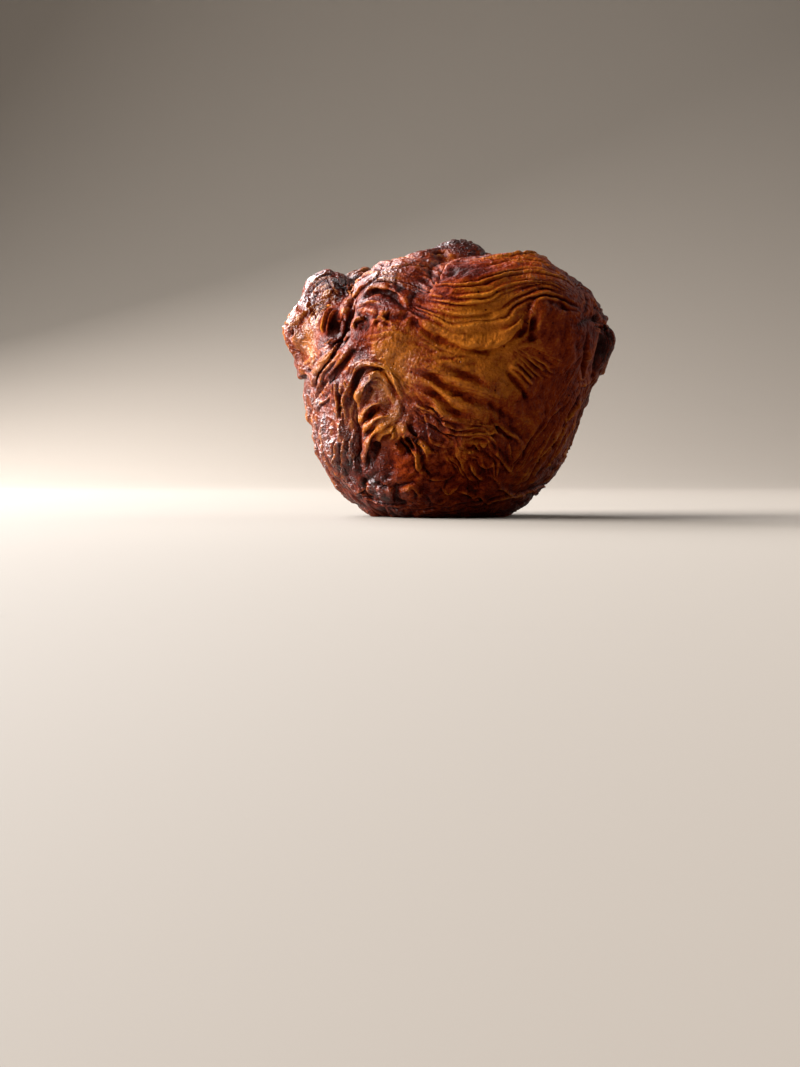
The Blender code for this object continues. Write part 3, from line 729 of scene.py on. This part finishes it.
for side, line, height in (
    (RIGHT, [-24, 12, -22.5, 20, -18.5, 29, -14.5, 36], 0.9),
    (RIGHT, [-17, 8, -15.5, 16, -12.5, 24, -9, 31], 0.8),
    (RIGHT, [-8.5, 6, -8, 14, -5, 21, -4.5, 29], 0.9),
    (RIGHT, [-1, 12, 0.5, 18, 0, 25, 2.5, 33], 0.8),
    (RIGHT, [8, 10, 7.5, 17, 9, 24, 7, 31], 0.9),
    (RIGHT, [17, 30, 20, 37.5, 26, 41, 31, 37], 1),
    (RIGHT, [20.5, 24, 23.5, 31.5, 28, 33, 31, 28], 0.9),
    (RIGHT, [-10, 61.4, -3, 60.6, 5, 61.4, 13, 63.6], 0.8),
    (RIGHT, [-12, 5, -6, 7, 0, 5.4, 7, 7.6], 0.4),
    (BACK, [-28, 52.5, -19, 46.4, -9, 44.4, 1, 46], 0.9),
    (BACK, [-30, 60, -21, 54, -10, 50, -1, 50.6, 5, 54], 0.7),
    (BACK, [11, 55, 17, 51, 25, 50.6, 31, 53], 0.9),
    (BACK, [-30, 22, -27.5, 30, -21, 36.5, -12, 37.4], 1.1),
    (BACK, [-26.5, 17, -24, 25, -18, 31, -10, 31], 1),
    (BACK, [-21.5, 13, -19.4, 19.4, -14.4, 24, -8.6, 22], 1),
    (BACK, [0, 36, 8, 37.4, 18, 38.6, 28, 41], 0.8),
    (BACK, [4, 27, 13, 29, 23, 31.6, 31, 34], 0.8),
    (BACK, [29, 22, 22.6, 16.5, 17.5, 9], 0.9),
    (BACK, [14, 20, 9.4, 13, 7.6, 6], 0.9),
    (BACK, [-25, 6, -16, 8, -9, 6, -2, 8.4], 0.4),
    (LEFT, [-31, 42, -21, 37.5, -14, 29.5, -11, 20], 1),
    (LEFT, [-30, 34, -23.5, 29.5, -18, 22, -15.4, 13], 0.9),
    (LEFT, [-4, 34, -5, 26, -4, 18, -6, 9], 0.9),
    (LEFT, [4, 36, 5, 28, 3.4, 20, 4.6, 11], 1),
    (LEFT, [12, 34, 12.4, 27, 9, 19, 9.6, 12], 0.9),
    (LEFT, [20, 30, 18.4, 22, 15, 15, 14, 8], 0.9),
    (LEFT, [0, 62, -1.4, 55, 1, 48.4], 0.9),
    (LEFT, [8, 63, 9, 56, 7.4, 49], 0.9),
    (LEFT, [-29, 56, -22, 52.6, -15, 51.4], 0.9),
    (LEFT, [-20, 5, -12, 7.4, -4, 5, 5, 7], 0.4),
    ("top", [3, -23, 13, -25, 23, -20, 28, -10], 0.8),
    ("top", [6, -15, 14, -15.6, 19.6, -9, 21.4, 0], 0.7),
    ("top", [-27, -4, -25, -14, -18, -23, -10, -26], 0.8),
    ("top", [-17, -1, -15, -9, -9.4, -15], 0.7),
    ("top", [31, 14, 27.6, 22.6, 19, 29], 0.8),
    ("top", [20, 13, 17, 19.6, 10.4, 22.6], 0.7),
    ("top", [-6, 31.6, -17, 29, -25.6, 20.4], 0.8),
    ("top", [-5, 21, -12, 20.6, -17.4, 14], 0.7),
    ("base", [-26, 10, -16, 20, -3, 24, 9, 22.6], 0.8),
    ("base", [-14, 6, -7, 12, 3, 13, 9, 9], 0.7),
    ("base", [25, 8, 25, -6, 15, -19, 2, -23], 0.8),
    ("base", [13, 2, 10, -8, 1, -13, -9, -11], 0.7),
):
    leaf(side, line, height)


def keep_layers(**layers):
    """Stores values on the crust's points, where the material reads them."""
    for name, values in layers.items():
        layer = crust.data.attributes.new(name, "FLOAT", "POINT")
        layer.data.foreach_set("value", values.astype(np.float32))


keep_layers(drift=drift, flow=flow, flow_hold=np.clip(flow_hold, 0, 1))
rise += 0.10 * lumps(place, 1.1, 70) + 0.16 * lumps(place, 2.6, 71) + 0.2 * lumps(place, 6.0, 72)
write_skin()

# How deep in a fold each point lies, read from the finished skin.
edges = np.empty(len(crust.data.edges) * 2, int)
crust.data.edges.foreach_get("vertices", edges)
edges = edges.reshape(-1, 2)
ends_of = np.concatenate([edges[:, 0], edges[:, 1]])
others = np.concatenate([edges[:, 1], edges[:, 0]])
neighbours = np.bincount(ends_of, minlength=len(place))


def relaxed(values, rounds):
    """Values averaged with those of their neighbours, so many times over."""
    for _ in range(rounds):
        sums = [np.bincount(ends_of, values[others, k], len(values)) for k in range(values.shape[1])]
        values = np.stack(sums, 1)
        values /= neighbours[:, None]
    return values


read_skin()
depth = np.einsum("ij,ij->i", relaxed(place, 12) - place, normal)
wide_depth = np.einsum("ij,ij->i", relaxed(place, 60) - place, normal)
keep_layers(cavity=depth, hollow=wide_depth)
shape_with("TRIANGULATE")
shape_with("DECIMATE", ratio=MOST_TRIANGLES / len(crust.data.polygons))
bpy.ops.object.shade_smooth()

# How each part baked, and painted shade, as values on the skin. The first is how dark it is, from 0,
# golden, to 1, nearly black: darker towards the foot, where the caramel gathered, and at the back, with
# painted shade on what faces up and on the far side's faces towards the window panes at the left.
# `grain` is how much glassy sugar it carries, and `crumple` is how finely the skin wrinkled.
FOOT_HEIGHT = 22.0  # mm above the table up to which the foot is darker
BEHIND_START, BEHIND_DEPTH = -6.0, 16.0  # mm back from the middle, over which the far side begins
read_skin()
behind = np.clip((place[:, 1] - BEHIND_START) / BEHIND_DEPTH, 0, 1)
bake = np.full(len(place), 0.54)
bake += 0.16 * np.clip(1 - place[:, 2] / FOOT_HEIGHT, 0, 1)
# Darker at the back, with painted shade where the far side faces the window panes at the left.
bake += behind * (0.12 + 0.12 * np.clip(-normal[:, 0], 0, 1))
# Painted shade on what faces up, where the lamps light it most.
bake += 0.12 * np.clip((normal[:, 2] - 0.35) / 0.4, 0, 1)
bake += 0.10 * lumps(place, 14.0, 80) + 0.06 * lumps(place, 5.0, 81)
grain = 0.22 + 0.30 * behind * np.clip(0.6 - place[:, 0] / 40.0, 0, 1)
crumple = np.full(len(place), 0.6)


def spot(layer, right, up, radius, change):
    """Moves a layer up or down over a soft round spot at the front."""
    middle, _ = on_dough(FRONT, [(right, up)])
    distance = np.linalg.norm(place - middle[0], axis=1)
    layer += change * np.exp(-((distance / radius) ** 2))


# The round spots of darkness at the front are partly how it baked and partly painted light and shade: painted
# shade where the left flap and the peak shade the left of the smile and under the left flap's edge, and
# painted light on the left ear.
for layer, spots in (
    (bake, (
        (0, 40, 34, -0.08), (8, 50, 10, -0.26), (-2, 53, 7, -0.04), (-14, 47, 9, -0.1), (14, 47, 7, -0.06),
        (2, 37, 12, -0.05), (14, 55, 8, -0.13), (15, 40, 5, -0.15), (8, 33, 6, -0.07), (20, 13, 8, -0.16),
        (38, 52, 8, 0.14), (-8, 61, 6, 0.04), (-28.6, 52, 3.5, 0.35), (4, 67, 6, 0.2), (-15, 57, 5, 0.08),
        (-31, 22, 7, -0.14), (-17, 39, 4, -0.18), (-17, 24, 4, -0.2), (22, 69, 9, -0.18),
        (27, 40, 9, -0.04), (-12.5, 49, 5, -0.03), (-29, 49, 4, 0.15), (-34, 51, 4, 0.12),
        (-27, 65, 4, 0.1), (0, 60, 5, 0.14), (-8, 54, 4, 0.14), (-8, 39, 5, 0.06), (-24, 39, 4, 0.1),
        (-8, 24, 4, 0.16), (0, 24, 4, 0.12), (-24, 13, 5, 0.2), (-16, 5, 5, 0.12), (8, 5, 6, 0.18),
        (24, 36, 4, 0.06), (15, 29, 4, 0.1), (14, 21, 5, 0.12), (-32, 36, 4, 0.1), (-24, 61, 4, 0.1),
        (-16, 60, 3, 0.12), (-33, 60.5, 3.5, -0.25), (-38, 66, 3, 0.2), (-29.5, 63, 2.5, 0.2),
        (-5, 63, 4, 0.12), (-26, 64, 3.5, 0.12), (-23, 52, 3, 0.16), (-24, 48, 3, 0.12),
        (-16, 66, 4, -0.24), (-16, 42, 3.5, -0.14), (-16, 24, 4, -0.16), (-8, 42, 4, 0.12),
        (-8, 55, 3.5, 0.06), (16, 36, 4, -0.12), (8, 24, 5, -0.12), (32, 42, 6, -0.06), (0, 54, 4, -0.08),
        (0, 60, 3.5, 0.18), (14, 3, 7, -0.16), (-24, 36, 4, 0.1), (-30, 49, 3, 0.06), (8, 66, 4, 0.22),
        (1, 66, 3.5, 0.14), (-24, 49, 4, 0.1), (-24, 42, 4, 0.1), (-8, 55, 4, 0.06), (-16, 41, 4, -0.08),
        (0, 30, 4, -0.06), (0, 18, 5, -0.08), (-8, 48, 4, 0.05), (-14, 40, 9, -0.08), (-19, 33, 6, -0.1),
        (-14, 14, 6, 0.06), (12, 22, 4, -0.1), (26, 52, 10, 0.06), (24, 66, 14, -0.04), (34, 40, 14, 0.02),
        (41, 46, 6, 0.55), (30, 20, 16, 0.08), (8, 64, 10, -0.08), (-14, 64, 10, 0.06), (-36, 63, 7, 0.06),
        (-29, 61, 4, 0.2), (-38.5, 45.5, 5, -0.45), (-35.2, 52, 2.4, -0.4), (-31, 52, 2, 0.5),
        (-34, 20, 12, 0.1), (4, 5, 12, -0.12), (-13, 12, 4, -0.14), (-4, 24, 5, 0.14), (1, 75, 7, 0.22),
        (-0.5, 70, 3, -0.2), (-33, 53, 4, 0.2),
    )),
    (grain, (
        (-36, 20, 14, 0.8), (-36, 60, 9, 0.9), (-16, 66, 10, 0.35), (-38, 44, 8, 0.7), (-16, 47, 6, 0.15),
        (-8, 58, 7, -0.2), (39, 50, 8, -0.3), (4, 67, 8, -0.35), (-35, 61, 6, 0.6), (-31, 20, 9, 0.5),
        (-22, 50, 6, -0.35), (-14, 66, 8, 0.2), (-16, 60, 3, -0.4), (3, 12, 10, -0.15), (-24, 62, 3, -0.2),
        (-19, 8, 5, 0.3), (-13, 13, 5, -0.25), (-33, 53, 3.2, -2.2), (1, 72, 8, 0.2), (-24, 36, 9, 0.25),
        (-28, 50, 7, 0.1), (32, 30, 24, -0.24), (8, 46, 14, -0.12), (34, 55, 12, -0.1), (4, 6, 14, -0.1),
        (-28, 19, 5, 0.35), (-21, 31, 6, 0.35), (-20, 39, 6, 0.3), (-19, 7.5, 4, 0.3), (-34, 60, 4, 0.5),
        (-16, 66, 4, 0.5), (6, 66, 7, -0.35), (-13, 27, 4, 0.3), (-24, 13, 5, -0.35), (-24, 62, 4, -0.2),
    )),
    (crumple, (
        (8, 50, 12, -0.6), (20, 62, 15, -0.4), (-8, 46, 11, -0.5), (0, 36, 12, -0.35), (28, 48, 8, -0.4),
        (30, 30, 9, -0.2), (-13.5, 12.5, 4, -0.6), (-33, 53, 3.2, -1), (-10, 64, 8, -0.45),
        (-18, 60, 6, -0.3), (10, 17, 10, 0.9), (0, 4, 16, 0.6), (-20, 34, 7, -0.3), (-1, 71, 4, -0.5),
    )),
):
    for right, up, radius, change in spots:
        spot(layer, right, up, radius, change)
keep_layers(bake=np.clip(bake, 0, 1), grain=np.clip(grain, 0, 1.6), crumple=np.clip(crumple, 0, 1),
            behind=behind)


# The finish is caramelised laminated crust: butter and sugar boiled out between the layers and set
# as a thin glassy glaze, brown on the crests, with fine blisters, and painted shade darkens it to
# dark red-brown in the folds.
def colour(hex_code, alpha=1.0):
    """An sRGB hex colour as linear light."""
    values = [int(hex_code[i:i + 2], 16) / 255 for i in (1, 3, 5)]
    return (*[v / 12.92 if v <= 0.04045 else ((v + 0.055) / 1.055) ** 2.4 for v in values], alpha)


def add(kind, settings=(), inputs=(), out=0):
    """Adds a node with its settings, with its inputs set to values or linked from other nodes' outputs,
    and gives one of its outputs."""
    node = tree.nodes.new("ShaderNode" + kind)
    for name, value in dict(settings).items():
        setattr(node, name, value)
    for name, value in dict(inputs).items():
        if isinstance(value, bpy.types.NodeSocket):
            tree.links.new(value, node.inputs[name])
        else:
            node.inputs[name].default_value = value
    return node.outputs[out]


def sum_of(*terms):
    """Adds up (output, factor) pairs."""
    total = 0.0
    for output, factor in terms:
        total = add("Math", {"operation": "MULTIPLY_ADD"}, {0: output, 1: factor, 2: total})
    return total


caramel_crust = bpy.data.materials.new("caramelised_laminated_crust")
caramel_crust.use_nodes = True
tree = caramel_crust.node_tree
shader = tree.nodes["Principled BSDF"]
where = add("TexCoord", out="Object")
cavity, hollow, bake_level, grain_level, crumple_level, layers_hold, turned_away = (
    add("Attribute", {"attribute_name": name}, out="Fac")
    for name in ("cavity", "hollow", "bake", "grain", "crumple", "flow_hold", "behind"))

# Patterns by their size in mm: mottled browning, freckles, blisters, sugar crystals and glaze patches.
mottle, freckle, blister, sugar, patch = (
    add("TexNoise", {}, {"Vector": where, "Scale": 1 / (size * MM), "Detail": detail, "Roughness": roughness})
    for size, detail, roughness in ((3.0, 3.0, 0.6), (0.6, 2.0, 0.65), (0.7, 2.0, 0.5), (0.55, 2.0, 0.55),
                                    (6.0, 3.0, 0.6)))
# Pores: small pits in the crust, each with painted shade darkening it.
pore_cells = add("TexVoronoi", {}, {"Vector": where, "Scale": 1 / (3.2 * MM), "Randomness": 1.0})
mesh_of_creases = add("TexNoise", {"noise_type": "RIDGED_MULTIFRACTAL", "normalize": True}, {
    "Vector": where, "Scale": 1 / (3.2 * MM), "Detail": 3.0, "Roughness": 0.5, "Lacunarity": 2.1,
    "Offset": 0.9, "Gain": 1.4, "Distortion": 0.6})
drawn_out = add("VectorMath", {"operation": "SCALE"}, {0: where, "Scale": 1 / (2.5 * MM)})
layer_lines = []
for name in ("drift", "flow"):
    across = add("Attribute", {"attribute_name": name}, out="Fac")
    spread_out = add("VectorMath", {"operation": "SCALE"}, {0: (0.75, 0.55, -0.6), "Scale": across})
    along = add("VectorMath", {"operation": "ADD"}, {0: drawn_out, 1: spread_out})
    layer_lines.append(add("TexNoise", {}, {"Vector": along, "Scale": 1.3, "Detail": 3.0, "Roughness": 0.65}))
held_lines = add("Mix", {}, {"Factor": layers_hold, "A": layer_lines[0], "B": layer_lines[1]})
# The fold depth gives painted shade in the folds, a little painted light on the crests, and dull glaze in the
# folds.
pore_pits_and_shade, painted_fold_shade, open_skin, glazed, crystals, roughness = (
    add("MapRange", {}, {"Value": value, "From Min": low, "From Max": high, "To Min": start, "To Max": end})
    for value, low, high, start, end in (
        (pore_cells, 0.04, 0.10, 1.0, 0.0), (cavity, -0.3, 0.5, -0.11, 0.42), (cavity, -0.05, 0.25, 1.0, 0.1),
        (patch, 0.42, 0.62, 0.6, 1.3), (patch, 0.44, 0.60, 0.15, 1.3), (mottle, 0.0, 1.0, 0.42, 0.65)))

# The colour, from golden through brown to burnt, with painted shade in the folds and hollows and a
# little painted light on the crests; the far side is a little more of a nut brown.
darkness = sum_of((bake_level, 1.0), (painted_fold_shade, 1.0), (hollow, 0.10), (mottle, 0.44), (freckle, 0.40),
                  (held_lines, 0.20), (pore_pits_and_shade, 0.5))
browned_and_shaded = add("ValToRGB", {}, {"Fac": add("Math", {"operation": "SUBTRACT"}, {0: darkness, 1: 0.46})})
stops = ((0.0, "#c97c2c"), (0.20, "#b7661a"), (0.40, "#9b5314"), (0.60, "#7a2b05"), (0.80, "#4e0e01"),
         (1.0, "#290702"))
ramp = browned_and_shaded.node.color_ramp
while len(ramp.elements) < len(stops):
    ramp.elements.new(0.5)
for element, (position, code) in zip(ramp.elements, stops):
    element.position = position
    element.color = colour(code)
nut_brown = add("HueSaturation", {}, {"Hue": 0.522, "Saturation": 0.92, "Value": 0.92, "Fac": turned_away,
                                      "Color": browned_and_shaded})

# The glaze, which pooled in patches and left the folds dull, and the relief of crystals and creases.
shown_grain = add("Math", {"operation": "MULTIPLY"}, {0: grain_level, 1: open_skin})
gloss = add("Math", {"operation": "MULTIPLY", "use_clamp": True}, {0: shown_grain, 1: glazed})
crests = add("Math", {"operation": "MULTIPLY"}, {0: mesh_of_creases, 1: crumple_level})
grainy = add("Math", {"operation": "MULTIPLY"}, {0: crystals, 1: grain_level})
sugar_height = add("Math", {"operation": "MULTIPLY"}, {0: sugar, 1: grainy})
height = sum_of((blister, 0.42 * MM), (sugar_height, 0.7 * MM), (held_lines, 0.16 * MM), (crests, 0.6 * MM),
                (pore_pits_and_shade, -0.4 * MM))
relief = add("Bump", {}, {"Strength": 1.0, "Distance": 1.0, "Height": height})
for name, output in (("Base Color", nut_brown), ("Roughness", roughness), ("Coat Weight", gloss),
                     ("Normal", relief), ("Coat Normal", relief)):
    tree.links.new(output, shader.inputs[name])
for name, value in (("IOR", 1.46), ("Specular IOR Level", 0.04), ("Coat Roughness", 0.08),
                    ("Coat IOR", 1.68)):
    shader.inputs[name].default_value = value
crust.data.materials.append(caramel_crust)
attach(crust, "root")
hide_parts("kouign_amann")

# The stage: one sheet of pale matt paper that lies under the pastry and sweeps up behind it in a
# wide curve, so that table and wall meet without a line. Its sizes are in metres.
SWEEP_FRONT, SWEEP_START, SWEEP_RADIUS, SWEEP_WIDTH, SWEEP_HEIGHT = -1.5, 0.8, 1.0, 5.0, 2.5
SWEEP_STEPS = 16
profile = [(SWEEP_FRONT, 0.0), (SWEEP_START, 0.0)]
for i in range(1, SWEEP_STEPS + 1):
    angle = math.pi / 2 * i / SWEEP_STEPS
    profile.append((SWEEP_START + SWEEP_RADIUS * math.sin(angle), SWEEP_RADIUS * (1 - math.cos(angle))))
profile.append((SWEEP_START + SWEEP_RADIUS, SWEEP_HEIGHT))
sweep_mesh = bpy.data.meshes.new("paper_sweep")
sweep_mesh.from_pydata(
    [(x, y, z) for y, z in profile for x in (-SWEEP_WIDTH / 2, SWEEP_WIDTH / 2)], [],
    [(2 * i, 2 * i + 1, 2 * i + 3, 2 * i + 2) for i in range(len(profile) - 1)])
sweep_mesh.shade_smooth()
floor = bpy.data.objects.new("paper_sweep", sweep_mesh)
bpy.context.scene.collection.objects.link(floor)
paper = bpy.data.materials.new("pale_paper")
paper.use_nodes = True
matt = paper.node_tree.nodes["Principled BSDF"]
matt.inputs["Base Color"].default_value = colour("#8c8277")
matt.inputs["Roughness"].default_value = 0.9
floor.data.materials.append(paper)

# The light: two tall window panes at the left, a weaker light behind that catches the rim, a small
# one over the left shoulder, and a wide weak one at the right that keeps the far side from going black.
PASTRY_MIDDLE = Vector((0, 0, 0.04))
for name, position, width, height, energy, tint in (
    ("window_front", (-1.05, -0.32, 0.50), 0.60, 0.60, 26.0, (0.96, 0.98, 1.0)),
    ("window_back", (-1.05, 0.34, 0.50), 0.60, 0.60, 32.0, (0.96, 0.98, 1.0)),
    ("rim", (-0.62, 0.85, 0.70), 0.7, 0.5, 22.0, (0.97, 0.97, 1.0)),
    ("skylight", (-0.62, -0.12, 0.90), 0.5, 0.5, 7.0, (0.97, 0.98, 1.0)),
    ("fill", (1.15, 0.55, 0.75), 1.2, 1.0, 8.5, (1.0, 0.97, 0.94)),
):
    lamp = bpy.data.lights.new(name, "AREA")
    lamp.shape = "RECTANGLE"
    lamp.size = width
    lamp.size_y = height
    lamp.energy = energy
    lamp.color = tint
    lamp_object = bpy.data.objects.new(name, lamp)
    lamp_object.location = position
    lamp_object.rotation_euler = (PASTRY_MIDDLE - lamp_object.location).to_track_quat("-Z", "Y").to_euler()
    bpy.context.scene.collection.objects.link(lamp_object)
world = bpy.data.worlds.new("room")
world.use_nodes = True
room_light = world.node_tree.nodes["Background"]
room_light.inputs["Color"].default_value = colour("#c8c0b6")
room_light.inputs["Strength"].default_value = 0.10
bpy.context.scene.world = world
bpy.context.scene.view_settings.view_transform = "Standard"

# The camera: a short telephoto lens close to the pastry and just above the table, level with its
# foot, turned slightly to the left of it.
camera = bpy.data.cameras.new("camera")
camera.sensor_width = 36.0
camera.lens = 52.87
camera.clip_start = 0.005
camera_object = bpy.data.objects.new("camera", camera)
camera_object.location = (0.0, -EYE_DISTANCE * MM, EYE_HEIGHT * MM)
yaw = math.radians(1.791)
pitch = math.atan(EYE_HEIGHT / EYE_DISTANCE) + math.radians(0.640)
camera_object.rotation_euler = (math.pi / 2 - pitch, 0.0, yaw)
bpy.context.scene.collection.objects.link(camera_object)
bpy.context.scene.camera = camera_object
